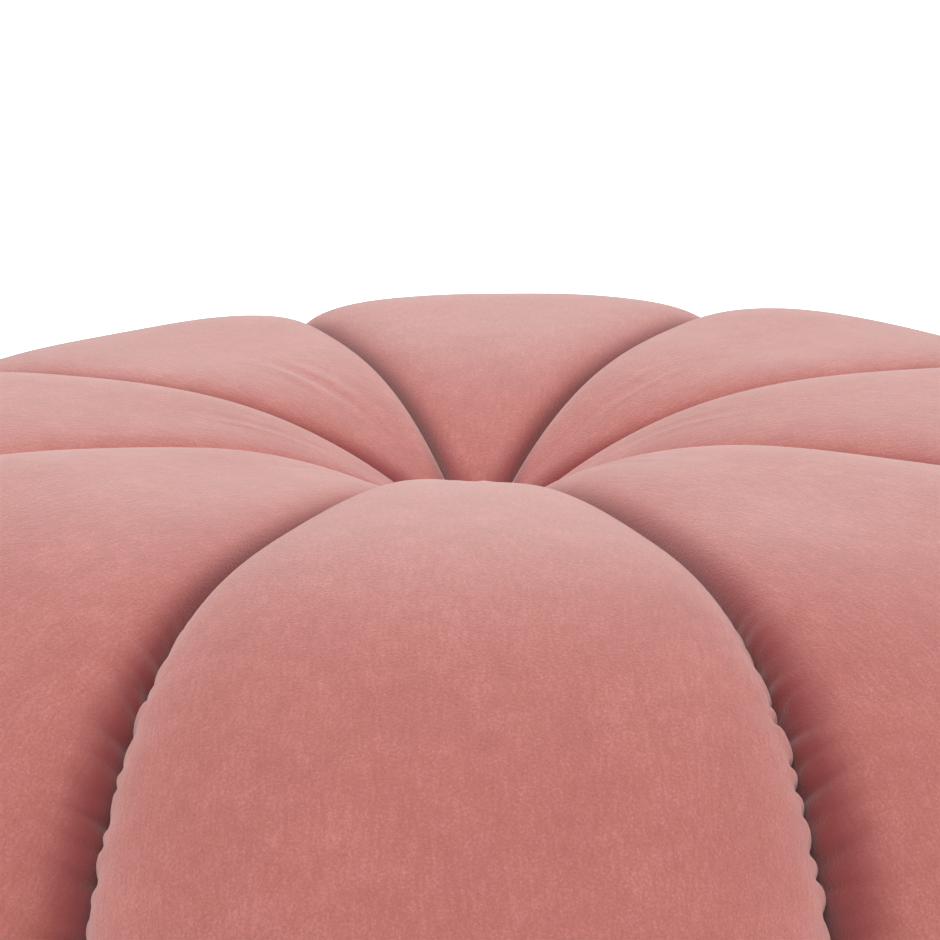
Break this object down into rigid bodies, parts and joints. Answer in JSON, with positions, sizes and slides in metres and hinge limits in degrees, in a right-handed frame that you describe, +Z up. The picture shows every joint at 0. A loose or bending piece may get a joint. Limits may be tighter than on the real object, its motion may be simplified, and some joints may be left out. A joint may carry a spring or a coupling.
{
  "type": "round channelled pouf",
  "caption": "Round velvet floor pouf with plump sewn lobes that run from a sunk centre over the shoulder and down the side to a flat base.",
  "frame": {"origin": "on the floor under the middle of the pouf, on the underside of its base panel", "axes": "+Z up; lobe_1 faces -Y; lobe numbers run anticlockwise seen from above"},
  "size_m": [0.5408, 0.5406, 0.378],
  "materials": {
    "velvet": "dusty pink short-pile velvet, paler where it is seen at a glancing angle",
    "base_cloth": "plain dark base cloth"
  },
  "bodies": {
    "root": {"lobe_1": "velvet", "lobe_2": "velvet", "lobe_3": "velvet", "lobe_4": "velvet", "lobe_5": "velvet", "lobe_6": "velvet", "lobe_7": "velvet", "lobe_8": "velvet", "base_panel": "base_cloth"}
  },
  "joints": []
}
